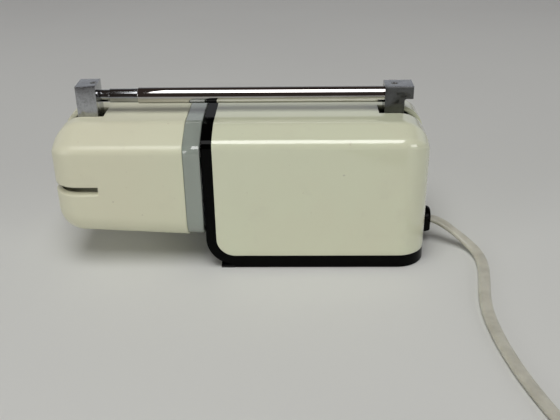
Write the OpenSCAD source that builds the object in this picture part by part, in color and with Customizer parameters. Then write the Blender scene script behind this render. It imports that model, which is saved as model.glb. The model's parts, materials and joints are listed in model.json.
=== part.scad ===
// Folding desk lamp with a telescopic arm, shown folded.
// Millimetres. +Z is up, +X runs from the lamp head towards the cord, and the origin is at the
// centre of the folded lamp, on the surface it stands on.

/* [Overall] */
// Length of the folded lamp, from the head's closed end to the cord bushing
folded_len = 199; // [198:1:201]
// Width of the base and of the head
body_w = 68; // [66:1:70]
// Wall thickness of the two ivory shells
wall = 2.5; // [2.2:0.1:2.8]

/* [Base] */
// Length of the base
base_len = 115; // [114:1:116]
// Height of the base
base_h = 76; // [76:0.5:77]
// Width of the black band round the front and bottom edges
trim_w = 5.2; // [4.8:0.1:5.6]
// Drop from the top to where the long sides start to bend inwards
base_edge_drop = 8.9; // [8:0.1:10]
// Slope of the two strips beside the flat top, in degrees
base_slope = 20; // [18:1:22]
// Radius of the bend between a long side and the slope, on the base and the head
bend_r = 5.3; // [5:0.1:6]
// Radius of the rear top edge and of the rear upright corners
rear_r = 15; // [13:0.5:16]
// Side-view radius of the black tray's lower front corner
trim_corner_r = 15; // [14:0.5:16]
// Height of the tray's underside above the table
tray_z = 2; // [1.8:0.1:2.2]

/* [Head] */
// Height of the head's underside above the table when folded
head_z = 15.8; // [15:0.1:17]
// Height of the head's top above the table when folded
head_top = 75.4; // [75:0.1:76]
// Drop from the head's top to where its long sides start to bend inwards
head_edge_drop = 11; // [10:0.1:12]
// Slope of the two strips beside the head's flat top, in degrees
head_slope = 22; // [20:1:24]
// Radius of the head's long lower edges
head_edge_r = 12; // [10:0.5:13]
// Radius of the head's closed end
head_end_r = 14; // [12:0.5:15]
// Length of grey ring that shows at the mouth
ring_show = 8.8; // [8:0.1:9.5]
// Gap between the grey ring and the base, which lets the arm swing up
mouth_gap = 0.9; // [0.8:0.1:1.2]

/* [Arm] */
// Height of the arm's centre line when folded
arm_z = 84.3; // [84:0.1:84.6]
// Outside diameter of the outer tube
outer_d = 8.3; // [8.1:0.1:8.5]
// Height of both pivots
pivot_z = 65.8; // [65.4:0.1:66]
// Diameter of both pivot pins
pin_d = 4; // [3:0.5:5]

/* [Cord] */
// Width of the flat twin cord
cord_w = 6; // [5.5:0.5:6.5]
// Thickness of the flat twin cord
cord_t = 3; // [2.8:0.1:3.2]

/* [Hidden] */
$fn = 64;

ivory = [0.86, 0.85, 0.77];
black = [0.05, 0.05, 0.05];
chrome = [0.75, 0.76, 0.78];
grey = [0.55, 0.58, 0.56];
steel = [0.62, 0.63, 0.64];
copper = [0.72, 0.45, 0.25];
brass = [0.78, 0.66, 0.35];

far = 300;                     // longer than the lamp, for cuts that run right through
eps = 0.01;
half_w = body_w / 2;
head_end = -folded_len / 2;
bushing_out = 6;
base_rear = folded_len / 2 - bushing_out;
base_front = base_rear - base_len;

// Tray and bottom
tray_floor_t = 2.5;
tray_floor = tray_z + tray_floor_t;
shell_bottom = tray_z + trim_w;
panel_recess = 1.2;
panel_t = 2.5;
panel_back = base_front + panel_recess + panel_t;
lip_h = 3;
lip_t = 1.5;
lip_gap = 0.25;
cover_bottom = 0.3;
cover_front = base_front + 7.3;
foot_len = 7.1;
foot_w = 11;
foot_h = 1;
screw_r = 1.45;
tap_r = 1.5;
boss_r = 3.6;
boss_y = half_w - wall - 3.3;
boss_x = [base_front + 20, base_rear - 16];
boss_top = 34;

// Base pivot, bracket and yoke
slot_play = 0.35;
base_bracket_w = 11.4;
base_leg = 10.1;
base_pivot_x = base_rear - 17.35;
base_bracket_top = 90;
overhang = 4.4;
overhang_z = pivot_z + (base_rear - base_pivot_x) + 0.2;
base_slot_w = base_bracket_w + 2 * slot_play;
slot_floor_gap = 0.6;
base_slot_z = pivot_z - base_leg / 2 - slot_floor_gap;
slot_clear = 2.7;
sheet_t = 1.5;
washer_t = 0.3;
cheek_gap = 0.4;
pivot_play = 0.05;

// Head pivot, bracket and yoke
head_bracket_w = 13.6;
head_leg = 10.4;
head_pivot_x = head_end + 16.9;
head_bracket_top = 91.3;
head_slot_w = head_bracket_w + 2 * slot_play;
head_slot_z = pivot_z - head_leg / 2 - slot_floor_gap;

// Arm tubes
tube_play = 0.05;
outer_wall = 0.5;
inner_wall = 0.4;
outer_r = outer_d / 2;
middle_r = outer_r - outer_wall - tube_play;
inner_r = middle_r - inner_wall - tube_play;
outer_left = base_front - 35.2;
middle_left = base_front - 50.1;
tube_seat = 8;
outer_right = base_pivot_x - base_leg / 2 + tube_seat;
middle_right = outer_right - 9;
inner_right = middle_right - 10;
inner_left = head_pivot_x + head_leg / 2 - tube_seat + 1.5;
set_screw_r = 1.6;
set_screw_h = 1.2;
head_set_screw_x = head_pivot_x + 3;

// Head
ring_end = base_front - mouth_gap;
shell_mouth = ring_end - ring_show;
ring_inset = 0.4;
ring_spigot = 6.8;
spigot_inset = 2.65;
ring_bore_inset = 4.15;
vent_z = [42.6, 47.2];
vent_right = base_front - 53.5;
vent_bridge = 10;
lamp_z = 46;
web_z = 57.5;
head_boss_x = head_pivot_x + 13.6;
head_boss_y = 6.6;
socket_plate_x = head_boss_x + 4.5;
socket_r = 8.9;
socket_x = [head_pivot_x + 2.6, head_pivot_x + 26.6];
glass_r = 13;
glass_x = head_pivot_x + 40.6;
glass_t = 0.7;
bulb_base_r = 7.6;
dish_x = [head_pivot_x + 22.6, head_pivot_x + 49.6];
dish_r = [10, 23.9];
dish_t = 0.8;
dish_steps = 12;

// Transformer
core_x = base_front + 25.5;
core_size = [54, 28, 45];
core_limb = 9;
bobbin_wall = 1;
strap_t = 1;
strap_w = 20;
strap_foot = 9;
core_mid = core_x + core_size[0] / 2;
window_z = [tray_floor + core_limb, tray_floor + core_size[2] - core_limb];
terminal_x = core_x + 24;
terminal_y = -25;
terminal_h = 8;

// Switch
switch_z = 41;
switch_pivot_x = base_front + 5.3;
switch_tilt = 6;
rocker_half_w = 4.3;
trunnion_r = 1.2;
switch_back = base_front + panel_recess + 16.3;

// Cord: the route is the centre line, from the bushing to the coil
bushing_y = -2;
bushing_z = 14.3;
bushing_r = 6.2;
bushing_neck_r = 4.9;
bushing_reach = 8.2;
route = [
  [99.5, -2, 12.4], [102, -2.9, 12.2], [105.2, -5, 11.6], [109, -8, 10.2], [113.5, -10.6, 7.4],
  [118, -14.4, 4.7], [121.5, -19.6, 2.9], [123.2, -25.5, 1.9], [123.5, -32, 1.6], [122.7, -40, 1.6],
  [120.9, -50, 1.6], [118.9, -60, 1.6], [117.4, -70, 1.6], [116.7, -80, 1.6], [117, -92, 1.6],
  [118, -104, 1.6], [119.7, -116, 1.6], [122, -128, 1.6], [125, -140, 1.6], [128.5, -152, 1.6],
  [132, -163, 1.6], [135.2, -174, 1.6], [137.4, -184, 1.6], [138.2, -192, 1.6]];
tail_route = [
  [85.6, -244.6, 11.2], [80, -244.7, 10.6], [74, -244.9, 9.4], [68, -245.1, 8.1],
  [62, -245.3, 7.2], [57, -245.5, 7]];
route_steps = 3;
coil_pos = [101.6, -208, 0];
coil_mid_r = 33.5;
coil_band = 13;
coil_h = 13.2;
tie_w = 5;
tie_t = 0.8;
tie_gap = 0.2;
plug_pos = [45, -245.5, 0];
plug_size = [24, 18, 14];
blade_len = 16;
blade_gap = 12.7;

// ---------------------------------------------------------------- helpers

// Rectangle with its own radius at each corner: lower left, lower right, upper right, upper left
module round_rect(low, high, r) {
  x0 = low[0];
  y0 = low[1];
  x1 = high[0];
  y1 = high[1];
  polygon(concat(
    r[0] > 0 ? [[x0, y0 + r[0]], [x0 + r[0], y0]] : [[x0, y0]],
    r[1] > 0 ? [[x1 - r[1], y0], [x1, y0 + r[1]]] : [[x1, y0]],
    r[2] > 0 ? [[x1, y1 - r[2]], [x1 - r[2], y1]] : [[x1, y1]],
    r[3] > 0 ? [[x0 + r[3], y1], [x0, y1 - r[3]]] : [[x0, y1]]));
  if (r[0] > 0) translate([x0 + r[0], y0 + r[0]]) circle(r[0]);
  if (r[1] > 0) translate([x1 - r[1], y0 + r[1]]) circle(r[1]);
  if (r[2] > 0) translate([x1 - r[2], y1 - r[2]]) circle(r[2]);
  if (r[3] > 0) translate([x0 + r[3], y1 - r[3]]) circle(r[3]);
}

// Front-view outline with upright sides, a round bend, a slope on each side and a flat top
module roofed(half, z0, bend_z, top, r, slope) {
  meet = [half - r + (r + eps) * sin(slope), bend_z + (r + eps) * cos(slope)];
  flat = meet[0] - (top - meet[1]) / tan(slope);
  polygon([[-half, z0], [half, z0], [half, bend_z], meet, [flat, top],
           [-flat, top], [-meet[0], meet[1]], [-half, bend_z]]);
  for (s = [-1, 1]) translate([s * (half - r), bend_z]) circle(r);
}

// A side-view outline given a width across Y
module along_y(y0, y1) {
  translate([0, y1, 0]) rotate([90, 0, 0]) linear_extrude(y1 - y0) children();
}

// A front-view outline, in Y and Z, given a length along X
module along_x(x0, x1) {
  translate([x0, 0, 0]) rotate([90, 0, 90]) linear_extrude(x1 - x0) children();
}

// A box between two corners
module block(low, high) {
  translate(low) cube(high - low);
}

// A point on a smooth curve through four points of a route
function curve(a, b, c, d, t) =
  0.5 * (2 * b + (c - a) * t + (2 * a - 5 * b + 4 * c - d) * t * t + (3 * b - a - 3 * c + d) * t * t * t);

// A route's points with a number of steps between each two
function smooth(points, steps) =
  let (last = len(points) - 1)
  concat(
    [for (i = [0 : last - 1], k = [0 : steps - 1])
      curve(points[max(i - 1, 0)], points[i], points[i + 1], points[min(i + 2, last)], k / steps)],
    [points[last]]);

// A section of n sides, as wide as w and as high as h, square to the line at its point i
function ring(line, i, w, h, n) =
  let (a = line[max(i - 1, 0)], b = line[min(i + 1, len(line) - 1)], t = (b - a) / norm(b - a),
       level = cross(t, abs(t[2]) > 0.9 ? [0, 1, 0] : [0, 0, 1]), s = level / norm(level), u = cross(s, t))
  [for (k = [0 : n - 1])
    let (angle = 360 * (k + 0.5) / n, c = cos(angle), d = sin(angle))
    line[i] + s * (w / 2) * sign(c) * pow(abs(c), h < w ? 0.6 : 1)
            + u * (h / 2) * sign(d) * pow(abs(d), h < w ? 0.6 : 1)];

// A closed tube swept along a line
module sweep(line, w, h, n) {
  rings = len(line);
  polyhedron(
    points = [for (i = [0 : rings - 1]) each ring(line, i, w, h, n)],
    faces = concat(
      [[for (k = [n - 1 : -1 : 0]) k]],
      [for (i = [0 : rings - 2], k = [0 : n - 1])
        [i * n + k, i * n + (k + 1) % n, (i + 1) * n + (k + 1) % n, (i + 1) * n + k]],
      [[for (k = [0 : n - 1]) (rings - 1) * n + k]]));
}

// An insulated wire through a list of points
module wire(points, r) {
  sweep(smooth(points, 4), 2 * r, 2 * r, 8);
}

// A cylinder whose axis is parallel to Y
module pin_y(x, z, r, y0, y1) {
  translate([x, y1, z]) rotate([90, 0, 0]) cylinder(h = y1 - y0, r = r);
}

// A cylinder whose axis is parallel to X
module pin_x(x0, x1, z, r) {
  translate([x0, 0, z]) rotate([0, 90, 0]) cylinder(h = x1 - x0, r = r);
}

// A pan-head screw pointing down, with its head's underside at the origin
module pan_screw(r, length) {
  difference() {
    union() {
      cylinder(h = 1.8, r = r * 1.9);
      translate([0, 0, -length]) cylinder(h = length + eps, r = r);
    }
    translate([-r * 1.4, -0.3, 1]) cube([r * 2.8, 0.6, 1]);
    translate([-0.3, -r * 1.4, 1]) cube([0.6, r * 2.8, 1]);
  }
}

// ---------------------------------------------------------------- base

// The base's section, shrunk by an inset
module base_section(inset, z0) {
  roofed(half_w - inset, z0, base_h - base_edge_drop, base_h - inset, bend_r - inset, base_slope);
}

// The base's outer form, shrunk by an inset on every side but the front
module base_form(inset, x0, z0, front_r) {
  intersection() {
    along_x(x0, base_rear - inset) base_section(inset, z0);
    along_y(-half_w, half_w)
      round_rect([x0, z0], [base_rear - inset, base_h - inset], [front_r, 0, rear_r - inset, 0]);
    linear_extrude(base_h)
      round_rect([x0, -half_w + inset], [base_rear - inset, half_w - inset],
                 [0, rear_r - inset, rear_r - inset, 0]);
  }
}

// The region behind the band, where the ivory shell shows
module shell_region(inset) {
  along_y(-half_w - 1, half_w + 1)
    round_rect([base_front + trim_w + inset, shell_bottom + inset], [far, far],
               [trim_corner_r - trim_w - inset, 0, 0, 0]);
}

// D-shaped outline of the bushing's seat: flat below, half round above
module d_outline(r) {
  translate([bushing_y, bushing_z]) circle(r);
  translate([bushing_y - r, shell_bottom]) square([2 * r, bushing_z - shell_bottom]);
}

module base_shell() color(ivory) {
  rib_x = base_pivot_x + base_leg / 2 + 1.4;
  rib_t = 2;
  difference() {
    union() {
      difference() {
        intersection() {
          base_form(0, base_front, tray_z, 0);
          shell_region(0);
        }
        base_form(wall, base_front - 1, tray_z - 1, 0);
      }
      // bosses for the screws that come up through the bottom
      for (x = boss_x, s = [-1, 1])
        translate([x, s * boss_y, tray_floor + 0.1]) cylinder(h = boss_top - tray_floor, r = boss_r);
      // channel behind the bracket: two ribs and a floor
      intersection() {
        base_form(wall - 0.2, base_front, tray_z, 0);
        union() {
          for (y = [-base_slot_w / 2 - rib_t, base_slot_w / 2])
            block([rib_x, y, base_slot_z - rib_t], [base_rear, y + rib_t, base_h]);
          block([rib_x, -base_slot_w / 2 - rib_t, base_slot_z - rib_t - 1],
                [base_rear, base_slot_w / 2 + rib_t, base_slot_z]);
        }
      }
    }
    // slot for the bracket, over the rear top edge
    block([base_pivot_x - base_leg / 2 - slot_clear, -base_slot_w / 2, base_slot_z],
          [base_rear + 1, base_slot_w / 2, base_h + 1]);
    // the bushing's seat
    along_x(base_rear - 8, base_rear + 1) {
      d_outline(bushing_neck_r + 0.2);
      translate([bushing_y - bushing_neck_r - 0.2, 0])
        square([2 * bushing_neck_r + 0.4, shell_bottom + eps]);
    }
    for (x = boss_x, s = [-1, 1])
      translate([x, s * boss_y, tray_z]) cylinder(h = 14, r = tap_r);
  }
}

module base_tray() color(black) {
  difference() {
    union() {
      difference() {
        base_form(0, base_front, tray_z, trim_corner_r);
        shell_region(0);
        // hollow behind the front panel and above the floor
        intersection() {
          base_form(wall, panel_back, tray_floor, trim_corner_r - wall);
          block([panel_back, -far, tray_floor], [far, far, far]);
        }
        // recess of the front panel inside its rim
        along_x(base_front - 1, base_front + panel_recess) base_section(wall, head_z);
      }
      // lip that the shell slides over, on a ledge inside the band
      difference() {
        base_form(wall - eps, panel_back - eps, tray_floor - eps, trim_corner_r - wall);
        base_form(wall + lip_gap + lip_t, base_front, tray_z - 1, 0);
        shell_region(0);
      }
      difference() {
        base_form(wall + lip_gap, panel_back - eps, tray_floor - eps, trim_corner_r - wall);
        base_form(wall + lip_gap + lip_t, base_front, tray_z - 1, 0);
        shell_region(lip_h);
      }
    }
    // opening for the rocker switch
    block([base_front - 1, -6.6, switch_z - 9.6], [panel_back + 1, 6.6, switch_z + 9.6]);
    // screw holes, room for the shell's bosses, and the bushing's seat in the lip
    for (x = boss_x, s = [-1, 1]) translate([x, s * boss_y, 0]) {
      cylinder(h = tray_floor + 1, r = 1.7);
      translate([0, 0, tray_floor]) cylinder(h = 20, r = boss_r + 0.3);
    }
    block([base_rear - 10, bushing_y - bushing_neck_r - 0.5, shell_bottom],
          [base_rear + 1, bushing_y + bushing_neck_r + 0.5, shell_bottom + 10]);
    for (x = [core_x - strap_foot / 2, core_x + core_size[0] + strap_foot / 2])
      translate([x, 0, 0]) cylinder(h = tray_floor + 1, r = tap_r);
    for (s = [-1, 1]) translate([base_pivot_x, s * 12, 0]) cylinder(h = tray_floor + 1, r = tap_r);
  }
}

module foot_blocks(grow) {
  for (s = [-1, 1]) {
    y0 = s > 0 ? half_w - foot_w : -half_w;
    block([cover_front - eps, y0 - grow, 0], [cover_front + foot_len + grow, y0 + foot_w + grow, foot_h]);
    translate([base_rear - 24, s * 17, 0]) cylinder(h = foot_h, r = 6 + grow);
  }
}

module bottom_cover() color(black) difference() {
  intersection() {
    block([cover_front, -half_w, cover_bottom], [base_rear, half_w, tray_z]);
    linear_extrude(10)
      round_rect([cover_front, -half_w], [base_rear, half_w], [0, rear_r, rear_r, 0]);
  }
  foot_blocks(0.05);
  for (x = boss_x, s = [-1, 1]) translate([x, s * boss_y, 0]) {
    cylinder(h = 5, r = 1.7);
    translate([0, 0, cover_bottom - eps]) cylinder(h = 1.3, r1 = 2.9, r2 = 1.6);
  }
}

module rubber_feet() color(black) foot_blocks(0);

module cover_screws() color(steel)
  for (x = boss_x, s = [-1, 1]) translate([x, s * boss_y, cover_bottom]) difference() {
    union() {
      cylinder(h = 1.3, r1 = 2.8, r2 = 1.5);
      cylinder(h = 14, r = screw_r);
    }
    translate([-1.6, -0.3, -eps]) cube([3.2, 0.6, 0.6]);
    translate([-0.3, -1.6, -eps]) cube([0.6, 3.2, 0.6]);
  }

// ---------------------------------------------------------------- transformer

module transformer_core() color(steel) difference() {
  block([core_x, -core_size[1] / 2, tray_floor],
        [core_x + core_size[0], core_size[1] / 2, tray_floor + core_size[2]]);
  for (x = [core_x + core_limb, core_x + core_size[0] - 2 * core_limb])
    block([x, -far, window_z[0]], [x + core_limb, far, window_z[1]]);
}

// Rectangular ring round the core's middle limb
module limb_ring(z0, z1, inner, outer_x, outer_y) {
  translate([core_mid, 0, z0]) linear_extrude(z1 - z0) difference() {
    square([outer_x, outer_y], center = true);
    square([2 * core_limb + 2 * inner, core_size[1] + 2 * inner], center = true);
  }
}

module transformer_bobbin() color("ivory") {
  flange_x = 4 * core_limb - 0.6;
  flange_y = core_size[1] + 19;
  limb_ring(window_z[0] + 0.3, window_z[1] - 0.3, 0.2, 2 * core_limb + 2.4, core_size[1] + 2.4);
  for (z = [window_z[0] + 0.3, window_z[0] + 16.8, window_z[1] - 1.3])
    limb_ring(z, z + bobbin_wall, 0.2, flange_x, flange_y);
}

module primary_winding() color("darkorange")
  limb_ring(window_z[0] + 1.5, window_z[0] + 16.6, 1.4, 4 * core_limb - 2, core_size[1] + 17);

module secondary_winding() color(copper)
  limb_ring(window_z[0] + 18, window_z[1] - 1.5, 1.4, 4 * core_limb - 2, core_size[1] + 17);

module transformer_clamp() color(steel) {
  x0 = core_x - strap_t;
  x1 = core_x + core_size[0] + strap_t;
  top = tray_floor + core_size[2];
  difference() {
    union() {
      block([x0, -strap_w / 2, top], [x1, strap_w / 2, top + strap_t]);
      block([x0, -strap_w / 2, tray_floor], [core_x, strap_w / 2, top + eps]);
      block([x1 - strap_t, -strap_w / 2, tray_floor], [x1, strap_w / 2, top + eps]);
      block([core_x - strap_foot, -strap_w / 2, tray_floor], [core_x, strap_w / 2, tray_floor + strap_t]);
      block([x1 - strap_t, -strap_w / 2, tray_floor],
            [core_x + core_size[0] + strap_foot, strap_w / 2, tray_floor + strap_t]);
    }
    for (x = [core_x - strap_foot / 2, core_x + core_size[0] + strap_foot / 2])
      translate([x, 0, 0]) cylinder(h = 20, r = 1.7);
  }
}

module transformer_screws() color(steel)
  for (x = [core_x - strap_foot / 2, core_x + core_size[0] + strap_foot / 2])
    translate([x, 0, tray_floor + strap_t]) pan_screw(screw_r, strap_t + tray_floor_t - 0.3);

module terminal_block() color("white") difference() {
  block([terminal_x - 4, terminal_y - 4.5, tray_floor],
        [terminal_x + 20, terminal_y + 4.5, tray_floor + terminal_h]);
  for (i = [0 : 2])
    translate([terminal_x + 8 * i, terminal_y, tray_floor + 3]) cylinder(h = 9, r = 2);
}

module terminal_screws() color(brass)
  for (i = [0 : 2]) translate([terminal_x + 8 * i, terminal_y, tray_floor + 3]) difference() {
    cylinder(h = 4, r = 1.9);
    translate([-2, -0.3, 3.2]) cube([4, 0.6, 1]);
  }

// ---------------------------------------------------------------- switch and wiring

module switch_housing() color(black) difference() {
  union() {
    block([base_front, -7.5, switch_z - 10.5], [base_front + panel_recess, 7.5, switch_z + 10.5]);
    block([base_front + panel_recess - eps, -6.5, switch_z - 9.5],
          [switch_back - 1.3, 6.5, switch_z + 9.5]);
  }
  block([base_front - 1, -4.5, switch_z - 8.2], [base_front + 10, 4.5, switch_z + 8.2]);
  pin_y(switch_pivot_x, switch_z, trunnion_r + pivot_play, -5.6, 5.6);
}

module switch_rocker() color(black)
  translate([switch_pivot_x, 0, switch_z]) rotate([0, -switch_tilt, 0]) {
    along_y(-rocker_half_w, rocker_half_w)
      polygon([[-6, 7], [-5, 0], [-6, -7], [1.5, -5.5], [2.5, 0], [1.5, 5.5]]);
    rotate([90, 0, 0]) cylinder(h = 10.8, r = trunnion_r, center = true);
  }

module mains_leads() color("dimgray") {
  bushing_end = base_rear - bushing_reach - 1.6;
  y = bushing_y - 3.5;
  z = tray_floor + 3;
  top = tray_floor + terminal_h + 1.3;
  // bushing to switch
  wire([[bushing_end, y, bushing_z - 2], [bushing_end - 0.2, y - 7, z + 5],
        [base_rear - 18, y - 9, z + 4.5],
        [base_rear - 27.5, -17.5, z], [core_x + 6, -17.5, z], [core_x - 3, -16.5, z + 6],
        [core_x - 4, -13, switch_z - 13], [core_x - 3.2, -5, switch_z - 5],
        [switch_back - 0.6, -3, switch_z - 4]], 1.1);
  // switch to primary winding
  wire([[switch_back, 3, switch_z + 4], [core_x - 3, 14, switch_z - 4],
        [core_x + 8, 26, switch_z - 14], [core_mid, 23.7, window_z[0] + 8]], 1.1);
  // bushing to terminal block
  wire([[bushing_end, y, bushing_z + 2], [bushing_end - 0.2, y - 7, bushing_z + 3],
        [base_rear - 17.5, -17, bushing_z + 3],
        [base_rear - 29, terminal_y, top + 1.5], [terminal_x + 21, terminal_y, top + 0.5],
        [terminal_x + 16, terminal_y, top]], 1.1);
  // terminal block to primary winding
  wire([[terminal_x + 8, terminal_y, top], [terminal_x + 7, terminal_y - 0.7, top + 4],
        [core_mid, -23.7, window_z[0] + 8]], 1.1);
}

module secondary_leads() color("dimgray") {
  z = window_z[1] - 4;
  wire([[core_x + core_size[0] - 9, -17, z], [core_x + core_size[0] + 2, -17, z + 8],
        [base_pivot_x - 4, -12, pivot_z - 14], [base_pivot_x - 2, -9, pivot_z - 8]], 1);
  wire([[core_x + core_size[0] - 9, 17, z], [core_x + core_size[0] + 2, 17, z + 8],
        [base_pivot_x - 4, 12, pivot_z - 14], [base_pivot_x - 2, 9, pivot_z - 8]], 1);
}

module cord_bushing() color(black) {
  along_x(base_rear + 0.05, base_rear + 3) intersection() {
    d_outline(bushing_r);
    translate([-far, shell_bottom + 0.05]) square(2 * far);
  }
  along_x(base_rear, folded_len / 2) intersection() {
    d_outline(bushing_r - 1);
    translate([-far, shell_bottom + 0.05]) square(2 * far);
  }
  along_x(base_rear - bushing_reach, base_rear + eps) intersection() {
    d_outline(bushing_neck_r);
    translate([-far, shell_bottom + 0.1]) square(2 * far);
  }
}

// ---------------------------------------------------------------- pivots

// A steel yoke's two cheeks with a pin bore
module cheeks(x, gap, z0, z1, length) {
  difference() {
    for (y = [-gap / 2 - sheet_t, gap / 2])
      block([x - length / 2, y, z0], [x + length / 2, y + sheet_t, z1]);
    pin_y(x, pivot_z, pin_d / 2 + pivot_play, -far, far);
  }
}

module pivot_pin(x, gap) {
  reach = gap / 2 + sheet_t;
  pin_y(x, pivot_z, pin_d / 2, -reach - 0.1, reach + 0.1);
  for (y = [-reach - 1.1, reach + 0.1]) pin_y(x, pivot_z, pin_d / 2 + 1.2, y, y + 1);
}

module friction_washers(x, leg_w) {
  for (y = [-leg_w / 2 - cheek_gap + 0.05, leg_w / 2 + 0.05]) difference() {
    pin_y(x, pivot_z, pin_d, y, y + washer_t);
    pin_y(x, pivot_z, pin_d / 2 + pivot_play, -far, far);
  }
}

base_gap = base_bracket_w + 2 * cheek_gap;
head_gap = head_bracket_w + 2 * cheek_gap;

module base_yoke() color(steel) {
  x0 = base_pivot_x - 6;
  x1 = base_pivot_x + 6;
  cheeks(base_pivot_x, base_gap, tray_floor, pivot_z + 6.2, 12);
  block([x0, -base_gap / 2 - eps, tray_floor], [x0 + sheet_t, base_gap / 2 + eps, pivot_z - 11]);
  difference() {
    for (y = [-16, base_gap / 2 + sheet_t - eps])
      block([x0, y, tray_floor], [x1, y + 16 - base_gap / 2 - sheet_t + eps, tray_floor + sheet_t]);
    for (s = [-1, 1]) translate([base_pivot_x, s * 12, 0]) cylinder(h = 20, r = 1.7);
  }
}

module yoke_screws() color(steel)
  for (s = [-1, 1]) translate([base_pivot_x, s * 12, tray_floor + sheet_t])
    pan_screw(screw_r, sheet_t + tray_floor_t - 0.3);

module base_pivot_pin() color(steel) pivot_pin(base_pivot_x, base_gap);

module base_friction_washers() color(steel) friction_washers(base_pivot_x, base_bracket_w);

// ---------------------------------------------------------------- arm

// Hole for a set screw, from the bracket's top down to the tube's seat
module set_screw_hole(x, top) {
  translate([x, 0, arm_z + 2]) cylinder(h = top - arm_z, r = set_screw_r + 0.05);
}

module set_screw(x, top) {
  translate([x, 0, top - set_screw_h - 0.3]) difference() {
    cylinder(h = set_screw_h, r = set_screw_r);
    translate([-2, -0.3, set_screw_h - 0.5]) cube([4, 0.6, 1]);
  }
}

module base_bracket() color(chrome) {
  x0 = base_pivot_x - base_leg / 2;
  x1 = base_pivot_x + base_leg / 2;
  w = base_bracket_w / 2;
  difference() {
    intersection() {
      along_y(-w, w) {
        translate([base_pivot_x, pivot_z]) circle(base_leg / 2);
        translate([x0, pivot_z]) square([base_leg, base_bracket_top - pivot_z]);
        translate([x0, overhang_z]) square([base_leg + overhang, base_bracket_top - overhang_z]);
        // fillet under the overhang
        difference() {
          translate([x1 - eps, overhang_z - 1.2]) square([1.2, 1.2 + eps]);
          translate([x1 + 1.2, overhang_z - 1.2]) circle(1.2);
        }
      }
      linear_extrude(base_bracket_top + 1)
        round_rect([x0, -w], [x1 + overhang, w], [1.5, 0.5, 0.5, 1.5]);
    }
    pin_y(base_pivot_x, pivot_z, pin_d / 2 + pivot_play, -far, far);
    pin_x(x0 - 1, outer_right, arm_z, outer_r + 0.02);
    set_screw_hole(base_pivot_x, base_bracket_top);
  }
}

module base_set_screw() color(steel) set_screw(base_pivot_x, base_bracket_top);

// A thin tube along the arm
module arm_tube(x0, x1, r, thickness) {
  difference() {
    pin_x(x0, x1, arm_z, r);
    pin_x(x0 - 1, x1 + 1, arm_z, r - thickness);
  }
}

module outer_tube() color(chrome) arm_tube(outer_left, outer_right, outer_r, outer_wall);

module middle_tube() color(chrome) arm_tube(middle_left, middle_right, middle_r, inner_wall);

module inner_tube() color(chrome) arm_tube(inner_left, inner_right, inner_r, inner_wall);

module head_bracket() color(chrome) {
  x0 = head_pivot_x - head_leg / 2;
  w = head_bracket_w / 2;
  difference() {
    intersection() {
      along_y(-w, w) {
        translate([head_pivot_x, pivot_z]) circle(head_leg / 2);
        translate([x0, pivot_z]) square([head_leg, head_bracket_top - pivot_z]);
      }
      linear_extrude(head_bracket_top + 1)
        round_rect([x0, -w], [x0 + head_leg, w], [0.5, 0.5, 2, 0.5]);
    }
    pin_y(head_pivot_x, pivot_z, pin_d / 2 + pivot_play, -far, far);
    pin_x(inner_left, head_pivot_x + far, arm_z, inner_r + 0.02);
    set_screw_hole(head_set_screw_x, head_bracket_top);
  }
}

module head_set_screw() color(steel) set_screw(head_set_screw_x, head_bracket_top);

// ---------------------------------------------------------------- head

module head_pivot_pin() color(steel) pivot_pin(head_pivot_x, head_gap);

module head_friction_washers() color(steel) friction_washers(head_pivot_x, head_bracket_w);

// The head's section, shrunk by an inset
module head_section(inset) {
  half = half_w - inset;
  r = head_edge_r - inset;
  round_rect([-half, head_z + inset], [half, head_top / 2], [r, r, 0, 0]);
  roofed(half, head_top / 2 - 1, head_top - head_edge_drop, head_top - inset, bend_r - inset,
         head_slope);
}

// The head's closed form, shrunk by an inset on every side but the mouth
module head_form(inset, x1) {
  r = head_end_r - inset;
  intersection() {
    along_x(head_end + inset, x1) head_section(inset);
    along_y(-half_w, half_w)
      round_rect([head_end + inset, head_z + inset], [x1, head_top - inset], [r, 0, 0, r]);
    linear_extrude(head_top)
      round_rect([head_end + inset, -half_w + inset], [x1, half_w - inset], [r, 0, 0, r]);
  }
}

module head_shell() color(ivory) difference() {
  union() {
    difference() {
      head_form(0, shell_mouth);
      head_form(wall, shell_mouth + 1);
    }
    // bosses that carry the yoke
    for (s = [-1, 1])
      translate([head_boss_x, s * head_boss_y, web_z + sheet_t])
        cylinder(h = head_top - wall / 2 - web_z - sheet_t, r = 3.2);
  }
  // slot for the bracket, over the closed end's top edge
  block([head_end - 1, -head_slot_w / 2, head_slot_z],
        [head_pivot_x + head_leg / 2 + slot_clear, head_slot_w / 2, head_top + 1]);
  // vent slots round both corners of the closed end
  for (s = [-1, 1])
    block([head_end - 1, s > 0 ? vent_bridge : -half_w - 1, vent_z[0]],
          [vent_right, s > 0 ? half_w + 1 : -vent_bridge, vent_z[1]]);
  for (s = [-1, 1])
    translate([head_boss_x, s * head_boss_y, web_z]) cylinder(h = 13, r = tap_r);
}

module mouth_ring() color(grey) difference() {
  union() {
    along_x(shell_mouth + 0.05, ring_end) head_section(ring_inset);
    along_x(shell_mouth - ring_spigot, shell_mouth + 1) head_section(spigot_inset);
  }
  along_x(shell_mouth - ring_spigot - 1, ring_end + 1) head_section(ring_bore_inset);
}

// Radius of the reflector's dish, from 0 at its neck to 1 at its rim
function dish_radius(t) = dish_r[0] + (dish_r[1] - dish_r[0]) * sqrt(t);

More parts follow.
